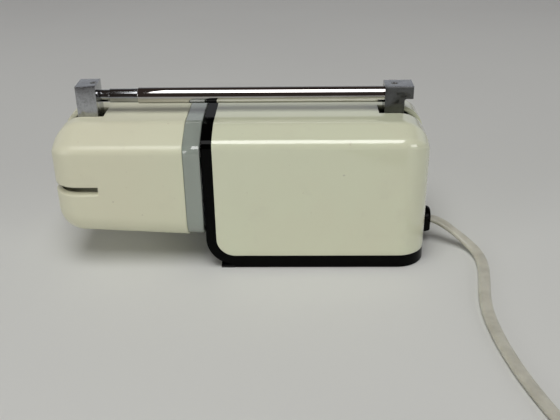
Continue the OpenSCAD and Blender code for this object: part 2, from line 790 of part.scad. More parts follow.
module reflector() color("silver") {
  depth = dish_x[1] - dish_x[0];
  translate([dish_x[0], 0, lamp_z]) rotate([0, 90, 0]) rotate_extrude()
    polygon(concat(
      [for (i = [0 : dish_steps]) [dish_radius(i / dish_steps), depth * i / dish_steps]],
      [for (i = [dish_steps : -1 : 0]) [dish_radius(i / dish_steps) + dish_t, depth * i / dish_steps]]));
  difference() {
    along_x(dish_x[1] - dish_t, dish_x[1]) head_section(ring_bore_inset + 0.15);
    pin_x(dish_x[0], dish_x[1] + 1, lamp_z, dish_r[1] + dish_t / 2);
  }
}

module head_yoke() color(steel) {
  x0 = head_pivot_x - 6;
  cheeks(head_pivot_x, head_gap, web_z, pivot_z + 6.2, 12);
  difference() {
    block([x0, -head_gap / 2 - sheet_t, web_z],
          [head_boss_x + 4, head_gap / 2 + sheet_t, web_z + sheet_t]);
    for (s = [-1, 1]) translate([head_boss_x, s * head_boss_y, 0]) cylinder(h = far, r = 1.7);
  }
}

module socket_bracket() color(steel) {
  x1 = socket_plate_x;
  difference() {
    block([x1 - 10, -9.5, web_z - sheet_t], [x1, 9.5, web_z]);
    for (s = [-1, 1]) translate([head_boss_x, s * head_boss_y, 0]) cylinder(h = far, r = 1.7);
  }
  difference() {
    block([x1 - sheet_t, -11, lamp_z - 12], [x1, 11, web_z]);
    pin_x(x1 - far, x1 + far, lamp_z, socket_r + 0.05);
  }
}

module head_screws() color(steel)
  for (s = [-1, 1]) translate([head_boss_x, s * head_boss_y, web_z - sheet_t]) mirror([0, 0, 1])
    pan_screw(screw_r, 12);

module lamp_socket() color(brass) {
  x1 = socket_plate_x;
  difference() {
    union() {
      pin_x(socket_x[0], socket_x[1], lamp_z, socket_r);
      pin_x(x1 + 0.05, x1 + 1, lamp_z, socket_r + 2.2);
    }
    pin_x(socket_x[0] + 1, socket_x[1] + 1, lamp_z, socket_r - 1);
    // bayonet slots
    for (s = [-1, 1])
      block([socket_x[1] - 8, s > 0 ? 5 : -far, lamp_z - 1.2],
            [socket_x[1] + 1, s > 0 ? far : -5, lamp_z + 1.2]);
  }
}

module socket_insulator() color("saddlebrown") {
  pin_x(socket_x[0] + 1.1, socket_x[0] + 4, lamp_z, socket_r - 1.2);
  pin_x(socket_x[0] + 4 - eps, socket_x[0] + 6, lamp_z, 2);
}

module lamp_leads() color("dimgray") for (s = [-1, 1])
  wire([[socket_x[0] - 1.1, s * 3, lamp_z], [head_pivot_x - 4, s * 8, lamp_z + 1],
        [head_pivot_x - 7.5, s * 12, web_z + 2], [head_pivot_x - 3, s * 10.5, pivot_z - 6]], 1);

module bulb_base() color(brass) {
  difference() {
    pin_x(socket_x[0] + 7.2, socket_x[1] + 2, lamp_z, bulb_base_r);
    pin_x(socket_x[0] + 10, socket_x[1] + 3, lamp_z, bulb_base_r - 0.5);
  }
  pin_x(socket_x[0] + 6.1, socket_x[0] + 7.3, lamp_z, 2.5);
}

module bulb_outline(shrink) {
  rotate_extrude() intersection() {
    union() {
      translate([0, glass_x - socket_x[1]]) circle(glass_r - shrink);
      translate([0, shrink - 6]) square([bulb_base_r - 0.6 - shrink, glass_x - socket_x[1]]);
    }
    translate([0, -50]) square([50, 100]);
  }
}

module bulb_glass() color([0.95, 0.95, 0.95, 0.4])
  translate([socket_x[1], 0, lamp_z]) rotate([0, 90, 0]) difference() {
    bulb_outline(0);
    bulb_outline(glass_t);
  }

module bulb_filament() color("gray") {
  x = glass_x - 2;
  for (s = [-1, 1]) wire([[socket_x[1] - 4, s * 2, lamp_z], [x - 4, s * 4, lamp_z], [x, s * 4, lamp_z]], 0.4);
  wire([[x, -4, lamp_z], [x + 1.5, 0, lamp_z], [x, 4, lamp_z]], 0.3);
}

// ---------------------------------------------------------------- cord

module mains_cord() color(ivory) sweep(smooth(route, route_steps), cord_w, cord_t, 10);

module cord_tail() color(ivory) sweep(smooth(tail_route, route_steps), cord_w, cord_t, 10);

module cord_coil() color(ivory) translate(coil_pos) rotate_extrude()
  round_rect([coil_mid_r - coil_band / 2, 0.05], [coil_mid_r + coil_band / 2, coil_h], [2, 2, 3, 3]);

module cord_tie() color(black) translate(coil_pos + [-coil_mid_r, 0, 0]) difference() {
  along_y(-tie_w / 2, tie_w / 2)
    translate([-coil_band / 2 - tie_gap - tie_t, 0])
      square([coil_band + 2 * (tie_gap + tie_t), coil_h + tie_gap + tie_t]);
  along_y(-tie_w, tie_w)
    translate([-coil_band / 2 - tie_gap, -1]) square([coil_band + 2 * tie_gap, coil_h + 1 + tie_gap]);
}

module plug_body() color(ivory) translate(plug_pos)
  along_x(-plug_size[0] / 2, plug_size[0] / 2)
    round_rect([-plug_size[1] / 2, 0.05], [plug_size[1] / 2, plug_size[2]], [3, 3, 3, 3]);

module plug_blades() color(brass) translate(plug_pos)
  for (s = [-1, 1])
    block([-plug_size[0] / 2 - blade_len, s * blade_gap / 2 - 0.75, plug_size[2] / 2 - 3.15],
          [-plug_size[0] / 2, s * blade_gap / 2 + 0.75, plug_size[2] / 2 + 3.15]);

// ---------------------------------------------------------------- nodes

base_shell();
base_tray();
bottom_cover();
rubber_feet();
cover_screws();
transformer_core();
transformer_bobbin();
primary_winding();
secondary_winding();
transformer_clamp();
transformer_screws();
terminal_block();
terminal_screws();
switch_housing();
switch_rocker();
mains_leads();
secondary_leads();
cord_bushing();
base_yoke();
yoke_screws();
base_pivot_pin();
base_friction_washers();
base_bracket();
base_set_screw();
outer_tube();
middle_tube();
inner_tube();
head_bracket();
head_set_screw();
head_pivot_pin();
head_friction_washers();
head_yoke();
head_screws();
head_shell();
mouth_ring();
reflector();
socket_bracket();
lamp_socket();
socket_insulator();
lamp_leads();
bulb_base();
bulb_glass();
bulb_filament();
mains_cord();
cord_tail();
cord_coil();
cord_tie();
plug_body();
plug_blades();
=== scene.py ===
"""Looks of the folding desk lamp: cord, shells, chrome arm, materials, light and camera.

Everything but the cord's route is in metres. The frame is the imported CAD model's: +X from the head
to the cord, +Z up.
"""

import json
import math

import bmesh
import bpy
from mathutils import Matrix, Vector


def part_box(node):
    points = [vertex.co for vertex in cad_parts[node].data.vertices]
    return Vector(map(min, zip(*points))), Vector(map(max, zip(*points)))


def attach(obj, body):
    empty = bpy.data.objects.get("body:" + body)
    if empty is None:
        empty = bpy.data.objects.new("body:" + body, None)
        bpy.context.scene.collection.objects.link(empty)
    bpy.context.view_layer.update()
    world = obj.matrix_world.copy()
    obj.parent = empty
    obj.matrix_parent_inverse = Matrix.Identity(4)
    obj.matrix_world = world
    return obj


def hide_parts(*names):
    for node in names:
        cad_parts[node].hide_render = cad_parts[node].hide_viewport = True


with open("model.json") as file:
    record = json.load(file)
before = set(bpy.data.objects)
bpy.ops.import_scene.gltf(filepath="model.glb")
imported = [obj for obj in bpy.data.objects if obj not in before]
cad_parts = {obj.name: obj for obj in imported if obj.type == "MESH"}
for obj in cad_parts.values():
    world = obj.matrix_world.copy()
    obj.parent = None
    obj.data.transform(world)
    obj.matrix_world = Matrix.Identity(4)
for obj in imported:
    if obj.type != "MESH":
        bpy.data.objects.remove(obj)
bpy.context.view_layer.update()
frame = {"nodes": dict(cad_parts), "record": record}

MM = 0.001
UP = Vector((0, 0, 1))
PAST = 0.002  # how far a cutter reaches past the face that it opens


# ---------------------------------------------------------------- camera


def make_camera():
    """A camera as the photograph has it: a little above the lamp, looking down at its long side."""
    place = Vector((0.0255, -0.3878, 0.2163))
    pitch, yaw, roll = (math.radians(angle) for angle in (27.22, -1.36, -0.81))
    level = Vector((math.cos(yaw), -math.sin(yaw), 0))
    ahead = Vector((math.sin(yaw) * math.cos(pitch), math.cos(yaw) * math.cos(pitch),
                    -math.sin(pitch)))
    above = level.cross(ahead)
    side = level * math.cos(roll) + above * math.sin(roll)
    above = above * math.cos(roll) - level * math.sin(roll)
    data = bpy.data.cameras.new("camera")
    data.lens, data.sensor_width = 50.12, 36.0
    data.clip_start, data.clip_end = 0.01, 30
    camera = bpy.data.objects.new("camera", data)
    bpy.context.scene.collection.objects.link(camera)
    turn = Matrix((side, above, -ahead)).transposed().to_4x4()
    camera.matrix_world = Matrix.Translation(place) @ turn
    bpy.context.scene.camera = camera


# ---------------------------------------------------------------- mesh helpers


def new_piece(name, vertices, faces):
    """An object with a mesh of its own, its double points merged and its faces turned outwards."""
    mesh = bpy.data.meshes.new(name)
    mesh.from_pydata([tuple(v) for v in vertices], [], faces)
    piece = bpy.data.objects.new(name, mesh)
    bpy.context.scene.collection.objects.link(piece)
    work = bmesh.new()
    work.from_mesh(mesh)
    bmesh.ops.remove_doubles(work, verts=work.verts, dist=1e-7)
    bmesh.ops.dissolve_degenerate(work, edges=work.edges, dist=1e-7)
    bmesh.ops.recalc_face_normals(work, faces=work.faces)
    work.to_mesh(mesh)
    work.free()
    return piece


def freeze(piece):
    """Applies the piece's modifiers to its mesh."""
    graph = bpy.context.evaluated_depsgraph_get()
    graph.update()
    made = bpy.data.meshes.new_from_object(piece.evaluated_get(graph))
    piece.modifiers.clear()
    piece.data = made
    return piece


def soften(piece, angle=35):
    """Smooth shading, with the edges sharper than an angle left sharp."""
    for polygon in piece.data.polygons:
        polygon.use_smooth = True
    piece.data.set_sharp_from_angle(angle=math.radians(angle))
    return piece


def cut(piece, cutters):
    """Cuts closed shapes out of a piece and removes them."""
    for cutter in cutters:
        step = piece.modifiers.new("cut", "BOOLEAN")
        step.operation, step.solver, step.object = "DIFFERENCE", "EXACT", cutter
    freeze(piece)
    for cutter in cutters:
        bpy.data.objects.remove(cutter)
    return piece


def bevel(piece, width, segments=3, angle=40):
    """Rounds the edges that are sharper than an angle."""
    step = piece.modifiers.new("bevel", "BEVEL")
    step.width, step.segments = width, segments
    step.limit_method, step.angle_limit = "ANGLE", math.radians(angle)
    step.harden_normals = False
    return freeze(piece)


def box_shape(low, high):
    """A box between two corners."""
    corners = [(x, y, z) for x in (low[0], high[0]) for y in (low[1], high[1])
               for z in (low[2], high[2])]
    faces = [(0, 1, 3, 2), (4, 6, 7, 5), (0, 4, 5, 1), (2, 3, 7, 6), (0, 2, 6, 4), (1, 5, 7, 3)]
    return new_piece("cutter", corners, faces)


def round_shape(axis, centre, radius, low, high, sides=64):
    """A closed cylinder along X, Y or Z between two heights on that axis, for cutting."""
    points = []
    for end in (low, high):
        for k in range(sides):
            turn = math.tau * k / sides
            flat = (radius * math.cos(turn) + centre[0], radius * math.sin(turn) + centre[1])
            points.append(tuple(flat[:axis]) + (end,) + tuple(flat[axis:]))
    return new_piece("cutter", points, closed_tube(2, sides))


def rings_to_faces(rows, columns, close_rows=False, close_columns=False):
    """Faces of a grid of points, given row by row."""
    faces = []
    for i in range(rows if close_rows else rows - 1):
        for k in range(columns if close_columns else columns - 1):
            a, b = i * columns, (i + 1) % rows * columns
            faces.append((a + k, a + (k + 1) % columns, b + (k + 1) % columns, b + k))
    return faces


def closed_tube(rows, columns):
    """Faces of a tube given as rings of points, with a face over each end."""
    end = (rows - 1) * columns
    walls = rings_to_faces(rows, columns, close_columns=True)
    return walls + [tuple(range(columns)), tuple(range(end, end + columns))]


def side_shape(name, outline, near, far):
    """A side-view outline of (x, z) points, given a width along Y."""
    points = [Vector((x, y, z)) for y in (near, far) for x, z in outline]
    return new_piece(name, points, closed_tube(2, len(outline)))


def spread(start, end, count):
    """Evenly spaced numbers from start to end."""
    return [start + (end - start) * i / (count - 1) for i in range(count)]


def centre_of(node):
    """The middle of a CAD node's box."""
    low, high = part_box(node)
    return (low + high) / 2


def keep(piece, body, slot, *nodes, finish=None):
    """Hangs a piece on a CAD body in place of CAD nodes, and gives it its slot and material."""
    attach(piece, body)
    if nodes:
        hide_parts(*nodes)
    piece.data.materials.clear()
    piece.data.materials.append(material(finish or slot))
    return piece


# ---------------------------------------------------------------- materials

AGED_FROM, AGED_TO = -0.016, -0.024  # along X, from the glossy base to the dulled head


class Shader:
    """A new material with its Principled shader, and short ways to add nodes to it."""

    def __init__(self, name, colour, roughness, metallic=0.0, **sockets):
        self.material = bpy.data.materials.new(name)
        self.material.use_nodes = True
        self.tree = self.material.node_tree
        self.main = self.tree.nodes["Principled BSDF"]
        self.colour = colour
        self.main.inputs["Base Color"].default_value = (*colour, 1)
        self.main.inputs["Roughness"].default_value = roughness
        self.main.inputs["Metallic"].default_value = metallic
        for socket, value in sockets.items():
            self.main.inputs[socket.replace("_", " ")].default_value = value
        self.place = self.node("ShaderNodeTexCoord").outputs["Object"]
        self.relief = None

    def node(self, kind, **values):
        """Adds a node, with values for its sockets or its settings."""
        made = self.tree.nodes.new(kind)
        for key, value in values.items():
            if key in made.inputs:
                made.inputs[key].default_value = value
            else:
                setattr(made, key, value)
        return made

    def link(self, a, b):
        self.tree.links.new(a, b)

    def noise(self, scale, detail=4.0, stretch=(1, 1, 1), rough=0.55):
        """Noise with a number of features per metre, stretched along the axes."""
        fit = self.node("ShaderNodeMapping")
        fit.inputs["Scale"].default_value = stretch
        self.link(self.place, fit.inputs["Vector"])
        made = self.node("ShaderNodeTexNoise", Scale=scale, Detail=detail, Roughness=rough)
        self.link(fit.outputs["Vector"], made.inputs["Vector"])
        return made.outputs["Fac"]

    def ramp(self, source, low, high, start=0.0, end=1.0):
        """Turns a span of a value into a span of another."""
        made = self.node("ShaderNodeMapRange")
        span = {"From Min": low, "From Max": high, "To Min": start, "To Max": end}
        for key, value in span.items():
            made.inputs[key].default_value = value
        self.link(source, made.inputs["Value"])
        return made.outputs["Result"]

    def axis(self, letter):
        """The place along one axis of the object."""
        split = self.node("ShaderNodeSeparateXYZ")
        self.link(self.place, split.inputs["Vector"])
        return split.outputs[letter]

    def sum(self, first, second):
        made = self.node("ShaderNodeMath", operation="ADD")
        self.link(first, made.inputs[0])
        self.link(second, made.inputs[1])
        return made.outputs["Value"]

    def tint(self, colour, amount):
        """Mixes another colour over the base colour where amount is high."""
        mix = self.node("ShaderNodeMix", data_type="RGBA", blend_type="MIX")
        base = self.main.inputs["Base Color"]
        if base.is_linked:
            self.link(base.links[0].from_socket, mix.inputs[6])
        else:
            mix.inputs[6].default_value = base.default_value
        mix.inputs[7].default_value = (*colour, 1)
        self.link(amount, mix.inputs[0])
        self.link(mix.outputs[2], base)

    def rough(self, amount):
        self.link(amount, self.main.inputs["Roughness"])

    def bump(self, height, distance, strength=1.0):
        """Adds relief, over any relief already there."""
        made = self.node("ShaderNodeBump", Distance=distance, Strength=strength)
        self.link(height, made.inputs["Height"])
        if self.relief:
            self.link(self.relief, made.inputs["Normal"])
        self.relief = made.outputs["Normal"]
        self.link(self.relief, self.main.inputs["Normal"])


def ivory_plastic(name):
    s = Shader(name, (0.755, 0.785, 0.585), 0.16, Coat_Weight=1.0, Coat_Roughness=0.03)
    x = s.axis("X")
    aged = s.ramp(x, AGED_FROM, AGED_TO, 0, 1)
    s.tint((0.765, 0.758, 0.572), s.ramp(x, -0.01, -0.06, 0, 1))
    s.tint((0.74, 0.71, 0.54), s.ramp(s.noise(22, 3), 0.45, 0.75, 0, 0.35))
    s.tint((0.64, 0.63, 0.49), s.ramp(s.noise(95, 5), 0.58, 0.8, 0, 0.25))
    s.tint((0.50, 0.43, 0.30), s.ramp(s.noise(260, 3), 0.70, 0.78, 0, 0.3))
    s.tint((0.30, 0.28, 0.22), s.ramp(s.noise(420, 2), 0.76, 0.80, 0, 0.35))
    # heat has dulled the head, and the base is still glossy
    s.rough(s.sum(s.ramp(s.noise(60, 6), 0.3, 0.75, 0.08, 0.15), s.ramp(aged, 0, 1, 0, 0.22)))
    s.link(s.ramp(aged, 0, 1, 1.0, 0.04), s.main.inputs["Coat Weight"])
    s.bump(s.noise(1500, 3), 0.00002, 0.15)
    return s


def black_plastic(name):
    s = Shader(name, (0.0006, 0.0006, 0.0006), 0.08, Specular_IOR_Level=0.07)
    s.tint((0.02, 0.02, 0.019), s.ramp(s.noise(900, 3), 0.70, 0.77, 0, 0.5))
    s.rough(s.ramp(s.noise(80, 5), 0.3, 0.7, 0.05, 0.12))
    s.bump(s.noise(1300, 3), 0.00002, 0.15)
    return s


def grey_plastic(name):
    s = Shader(name, (0.325, 0.365, 0.325), 0.12, Coat_Weight=1.0, Coat_Roughness=0.02,
               Subsurface_Weight=0.15, Subsurface_Radius=(0.003, 0.0035, 0.003),
               Subsurface_Scale=1.0)
    s.tint((0.305, 0.345, 0.30), s.ramp(s.noise(45, 3), 0.4, 0.75, 0, 0.4))
    s.rough(s.ramp(s.noise(90, 5), 0.3, 0.7, 0.05, 0.10))
    s.bump(s.noise(1200, 3), 0.00002, 0.1)
    return s


def black_rubber(name):
    s = Shader(name, (0.012, 0.012, 0.012), 0.75)
    s.tint((0.05, 0.048, 0.045), s.ramp(s.noise(500, 4), 0.5, 0.75, 0, 0.6))
    s.bump(s.noise(2200, 3), 0.00005, 0.5)
    return s


def chrome_plate(name):
    s = Shader(name, (0.44, 0.45, 0.465), 0.1, 1.0)
    s.tint((0.25, 0.255, 0.265), s.ramp(s.noise(700, 5), 0.48, 0.72, 0, 0.6))
    s.tint((0.03, 0.027, 0.023), s.ramp(s.noise(1900, 2), 0.68, 0.74, 0, 0.85))
    s.rough(s.ramp(s.noise(520, 6), 0.38, 0.72, 0.08, 0.26))
    s.bump(s.noise(900, 4), 0.00003, 0.35)
    return s


def chrome_painted_dark_sides(name):
    s = chrome_plate(name)
    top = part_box("base_bracket")[1].z
    # painted shade: every face below the top is darkened, standing in for the dark room that these
    # faces reflect, and only the top face keeps the bright chrome
    s.tint((0.07, 0.072, 0.07), s.ramp(s.axis("Z"), top - 0.0002, top - 0.0009, 0, 0.85))
    return s


def tube_chrome(name):
    s = Shader(name, (0.50, 0.485, 0.47), 0.03, 1.0)
    s.tint((0.36, 0.345, 0.33), s.ramp(s.noise(180, 5, (0.25, 1, 1)), 0.55, 0.8, 0, 0.4))
    s.rough(s.ramp(s.noise(500, 6, (0.15, 1, 1)), 0.4, 0.75, 0.02, 0.07))
    return s


def worn_chrome(name):
    s = Shader(name, (0.34, 0.35, 0.36), 0.12, 1.0)
    s.tint((0.22, 0.21, 0.20), s.ramp(s.noise(260, 5, (0.3, 1, 1)), 0.5, 0.75, 0, 0.6))
    s.rough(s.ramp(s.noise(600, 6, (0.15, 1, 1)), 0.4, 0.75, 0.07, 0.20))
    return s


def zinc_steel(name):
    s = Shader(name, (0.50, 0.50, 0.48), 0.34, 1.0)
    s.tint((0.36, 0.34, 0.29), s.ramp(s.noise(240, 6), 0.45, 0.75, 0, 0.6))
    s.rough(s.ramp(s.noise(700, 5), 0.3, 0.7, 0.26, 0.5))
    s.bump(s.noise(1800, 4), 0.00002, 0.4)
    return s


def core_steel(name):
    s = Shader(name, (0.16, 0.155, 0.15), 0.45, 0.9)
    lamination = s.node("ShaderNodeTexWave", Scale=300.0, Distortion=0.6, Detail=2.0)
    lamination.bands_direction = "Y"
    s.link(s.place, lamination.inputs["Vector"])
    s.tint((0.07, 0.06, 0.055), s.ramp(lamination.outputs["Fac"], 0.2, 0.7, 0.7, 0))
    s.tint((0.25, 0.12, 0.05), s.ramp(s.noise(120, 6), 0.55, 0.75, 0, 0.5))
    s.bump(lamination.outputs["Fac"], 0.00015, 0.6)
    return s


def nylon(name):
    s = Shader(name, (0.66, 0.62, 0.50), 0.42, Subsurface_Weight=0.1)
    s.tint((0.54, 0.48, 0.36), s.ramp(s.noise(140, 5), 0.45, 0.75, 0, 0.6))
    s.bump(s.noise(900, 3), 0.00003, 0.4)
    return s


def winding_tape(name):
    s = Shader(name, (0.56, 0.30, 0.05), 0.28, Coat_Weight=0.4)
    layer = s.node("ShaderNodeTexWave", Scale=55.0, Distortion=0.5, Detail=2.0)
    layer.bands_direction = "Z"
    s.link(s.place, layer.inputs["Vector"])
    s.tint((0.34, 0.16, 0.03), s.ramp(layer.outputs["Fac"], 0.0, 0.35, 0.7, 0))
    s.bump(layer.outputs["Fac"], 0.0002, 0.5)
    s.bump(s.noise(600, 4), 0.00006, 0.4)
    return s


def copper_wire(name):
    s = Shader(name, (0.62, 0.26, 0.11), 0.26, 0.85, Coat_Weight=0.5)
    turn = s.node("ShaderNodeTexWave", Scale=260.0, Distortion=0.25, Detail=1.0)
    turn.bands_direction = "Z"
    s.link(s.place, turn.inputs["Vector"])
    s.tint((0.22, 0.07, 0.03), s.ramp(turn.outputs["Fac"], 0.0, 0.4, 0.8, 0))
    s.bump(turn.outputs["Fac"], 0.0003, 0.8)
    return s


def brass_metal(name):
    s = Shader(name, (0.62, 0.46, 0.20), 0.26, 1.0)
    s.tint((0.34, 0.24, 0.10), s.ramp(s.noise(300, 6), 0.45, 0.75, 0, 0.6))
    s.rough(s.ramp(s.noise(600, 5), 0.3, 0.7, 0.18, 0.42))
    s.bump(s.noise(1500, 3), 0.00002, 0.4)
    return s


def phenolic(name):
    s = Shader(name, (0.075, 0.03, 0.015), 0.4)
    s.tint((0.15, 0.07, 0.035), s.ramp(s.noise(900, 4), 0.5, 0.7, 0, 0.7))
    s.bump(s.noise(1200, 3), 0.00003, 0.4)
    return s


def reflector_metal(name):
    s = Shader(name, (0.80, 0.81, 0.82), 0.16, 1.0)
    s.rough(s.ramp(s.noise(900, 5), 0.3, 0.7, 0.12, 0.28))
    s.bump(s.noise(1600, 4), 0.00003, 0.4)
    s.tint((0.62, 0.62, 0.60), s.ramp(s.noise(150, 5), 0.5, 0.75, 0, 0.6))
    return s


def clear_glass(name):
    s = Shader(name, (0.97, 0.98, 0.985), 0.02, IOR=1.48, Transmission_Weight=1.0)
    s.rough(s.ramp(s.noise(300, 4), 0.4, 0.8, 0.01, 0.06))
    return s


def tungsten(name):
    s = Shader(name, (0.22, 0.22, 0.23), 0.38, 1.0)
    s.rough(s.ramp(s.noise(4000, 3), 0.3, 0.7, 0.3, 0.5))
    return s


def lead_insulation(name):
    s = Shader(name, (0.018, 0.018, 0.02), 0.42)
    s.tint((0.05, 0.05, 0.05), s.ramp(s.noise(500, 4), 0.5, 0.75, 0, 0.6))
    s.bump(s.noise(1500, 3), 0.00003, 0.4)
    return s


def cord_pvc(name):
    s = Shader(name, (0.58, 0.57, 0.485), 0.36, Subsurface_Weight=0.25,
               Subsurface_Radius=(0.0015, 0.0013, 0.001), Subsurface_Scale=1.0)
    s.tint((0.40, 0.385, 0.32), s.ramp(s.noise(90, 6), 0.42, 0.72, 0, 0.8))
    s.tint((0.20, 0.18, 0.15), s.ramp(s.noise(650, 3), 0.70, 0.78, 0, 0.35))
    s.rough(s.ramp(s.noise(200, 5), 0.3, 0.7, 0.3, 0.48))
    s.bump(s.noise(500, 3), 0.00006, 0.4)
    return s


MAKERS = {maker.__name__: maker for maker in (
    ivory_plastic, black_plastic, grey_plastic, black_rubber, chrome_plate, chrome_painted_dark_sides,
    tube_chrome, worn_chrome, zinc_steel, core_steel, nylon, winding_tape, copper_wire,
    brass_metal, phenolic, reflector_metal, clear_glass, tungsten, lead_insulation, cord_pvc)}
made_materials = {}


def material(name):
    """A material by the name of the function that makes it, made once."""
    if name not in made_materials:
        made_materials[name] = MAKERS[name](name).material
    return made_materials[name]


def dress_cad_nodes():
    """Gives each CAD node the material of its slot."""
    for part in frame["record"]["subparts"]:
        node = frame["nodes"][part["node"]]
        node.data.materials.clear()
        node.data.materials.append(material(part["material_slot"]))


# ---------------------------------------------------------------- cord, coil and plug

CORD_W, CORD_T = 0.006, 0.003
# The cord's route from the bushing to the coil, and from the coil to the plug, in millimetres
ROUTE = [
    (99.5, -2, 12.4), (102, -2.9, 12.2), (105.2, -5, 11.6), (109, -8, 10.2), (113.5, -10.6, 7.4),
    (118, -14.4, 4.7), (121.5, -19.6, 2.9), (123.2, -25.5, 1.9), (123.5, -32, 1.6), (122.7, -40, 1.6),
    (120.9, -50, 1.6), (118.9, -60, 1.6), (117.4, -70, 1.6), (116.7, -80, 1.6), (117, -92, 1.6),
    (118, -104, 1.6), (119.7, -116, 1.6), (122, -128, 1.6), (125, -140, 1.6), (128.5, -152, 1.6),
    (132, -163, 1.6), (135.2, -174, 1.6), (137.4, -184, 1.6), (138.2, -192, 1.6)]
TAIL_ROUTE = [
    (85.6, -244.6, 11.2), (80, -244.7, 10.6), (74, -244.9, 9.4), (68, -245.1, 8.1),
    (62, -245.3, 7.2), (57, -245.5, 7)]
COIL_INSET = 0.0034  # from the CAD coil's edge to the middle of the outer turns
COIL_STEP = 0.0062  # from the outer turns to the inner turns of a layer
COIL_LAYERS = [0.0016 + 0.0032 * i for i in range(4)]  # the height of each layer's middle
STRAP_T = 0.0007  # the tie's thickness


def smooth_line(points, steps):
    """A smooth curve through points, with a number of steps between each two."""
    line = []
    last = len(points) - 1
    for i in range(last):
        a, b, c, d = (points[max(i - 1, 0)], points[i], points[i + 1], points[min(i + 2, last)])
        for k in range(steps):
            t = k / steps
            line.append(0.5 * (2 * b + (c - a) * t + (2 * a - 5 * b + 4 * c - d) * t * t
                               + (3 * b - a - 3 * c + d) * t * t * t))
    return line + [points[last]]


def coil_line(centre, outer, inner, layers, steps):
    """The turns of the coil, clockwise from its +X side: two rings of turns in each layer."""
    turns = 2 * len(layers) - 0.75
    rings = [outer, inner, inner, outer] * len(layers)
    change = 0.16  # the share of a turn in which the cord passes to the next ring
    line = []
    for i in range(1, int(turns * steps) + 1):
        turn = i / steps
        whole = int(turn)
        step = max(0.0, (turn - whole - 1 + change) / change)
        step = step * step * (3 - 2 * step)
        here, there = min(whole, len(rings) - 1), min(whole + 1, len(rings) - 1)
        low = layers[min(here // 2, len(layers) - 1)]
        high = layers[min(there // 2, len(layers) - 1)]
        radius = rings[here] + (rings[there] - rings[here]) * step
        angle = -math.tau * turn
        line.append(centre + Vector((radius * math.cos(angle), radius * math.sin(angle),
                                     low + (high - low) * step)))
    return line


def flat_tube(name, line, section):
    """A tube along a line. Its section is (side, up) points, and its flat side stays level."""
    points = []
    for i, here in enumerate(line):
        along = (line[min(i + 1, len(line) - 1)] - line[max(i - 1, 0)]).normalized()
        side = along.cross(UP).normalized()
        up = side.cross(along)
        points += [here + side * s + up * u for s, u in section]
    return new_piece(name, points, closed_tube(len(line), len(section)))


def squared(angle, power):
    """A point of the unit circle, pushed out towards a square as the power grows."""
    c, s = math.cos(angle), math.sin(angle)
    size = (abs(c) ** power + abs(s) ** power) ** (-1 / power)
    return c * size, s * size


def twin_section(width, height, sides=24, waist=0.05):
    """The section of a flat twin cord: an oval with a shallow groove between its two cores."""
    section = []
    for k in range(sides):
        angle = math.tau * (k + 0.5) / sides
        across, up = squared(angle, 2.6)
        groove = 1 - waist * math.exp(-((math.cos(angle) / 0.22) ** 2))
        section.append((width / 2 * across, height / 2 * up * groove))
    return section


def make_cord():
    """The mains cord, one flat tube from the bushing through the coil to the plug."""
    coil_low, coil_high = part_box("cord_coil")
    centre = (coil_low + coil_high) / 2
    centre.z = 0
    outer = (coil_high.x - coil_low.x) / 2 - COIL_INSET
    route = smooth_line([Vector(p) * MM for p in ROUTE], 5)
    tail = smooth_line([Vector(p) * MM for p in TAIL_ROUTE], 4)
    line = route + coil_line(centre, outer, outer - COIL_STEP, COIL_LAYERS, 48) + tail
    cord = soften(flat_tube("mains_cord_line", line, twin_section(CORD_W, CORD_T)), 60)
    keep(cord, "base", "cord_pvc", "mains_cord", "cord_tail", "cord_coil")
    tie = make_tie(*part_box("cord_tie"))
    plug = make_plug(*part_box("plug_body"))


def make_tie(low, high):
    """A soft strap bent over the bundle of turns, with its ends tucked in under it."""
    bend, tuck = 0.003, 0.0012
    path = []
    for x, way in ((low.x + STRAP_T / 2, 1), (high.x - STRAP_T / 2, -1)):
        side = [Vector((x + way * tuck, 0, low.z + 0.0004)), Vector((x, 0, low.z + 0.002))]
        side += [Vector((x + way * bend * (1 - math.cos(a)), 0,
                         high.z - STRAP_T / 2 - bend * (1 - math.sin(a))))
                 for a in spread(0, math.pi / 2, 7)]
        path += side if way > 0 else side[::-1]
    # the strap's section, as shares of its half width and half thickness
    section = [(-1, 0.6), (-0.9, 1), (0.9, 1), (1, 0.6), (1, -0.6), (0.9, -1), (-0.9, -1), (-1, -0.6)]
    middle_y, half_y = (low.y + high.y) / 2, (high.y - low.y) / 2
    points = []
    for i, here in enumerate(path):
        along = (path[min(i + 1, len(path) - 1)] - path[max(i - 1, 0)]).normalized()
        out = Vector((-along.z, 0, along.x)) * (STRAP_T / 2)
        points += [here + out * level + Vector((0, middle_y + side * half_y, 0))
                   for side, level in section]
    strap = new_piece("cord_tie_strap", points, closed_tube(len(path), len(section)))
    return keep(soften(strap), "base", "black_rubber", "cord_tie")


def make_plug(low, high):
    """The moulded plug: a rounded body with grip ridges and a neck where the cord enters."""
    length, half_w, half_h = high.x - low.x, (high.y - low.y) / 2, (high.z - low.z) / 2
    middle = (low + high) / 2
    # the share of the length from the blades, and the share of the full section there
    profile = [(0, 0.86), (0.02, 0.93), (0.05, 0.97), (0.09, 1.0), (0.24, 1.0)]
    for i in range(5):
        ridge = 0.27 + 0.075 * i
        profile += [(ridge, 0.985), (ridge + 0.012, 0.93), (ridge + 0.035, 0.93),
                    (ridge + 0.05, 0.985)]
    profile += [(0.68, 0.97), (0.74, 0.90), (0.80, 0.74), (0.86, 0.56), (0.93, 0.47),
                (0.985, 0.44), (1.0, 0.40)]
    points, sides = [], 40
    for share, size in profile:
        power = 4.5 if size > 0.6 else 2.6
        for k in range(sides):
            across, up = squared(math.tau * k / sides, power)
            points.append(Vector((low.x + share * length, middle.y + half_w * size * across,
                                  middle.z + half_h * size * up)))
    plug = new_piece("plug_moulding", points, closed_tube(len(profile), sides))
    return keep(soften(plug, 50), "base", "cord_pvc", "plug_body")


# ---------------------------------------------------------------- base

WALL = 0.0025
SIDE_POINTS, TOP_POINTS = 24, 33  # points along a section's upright side and its flat top
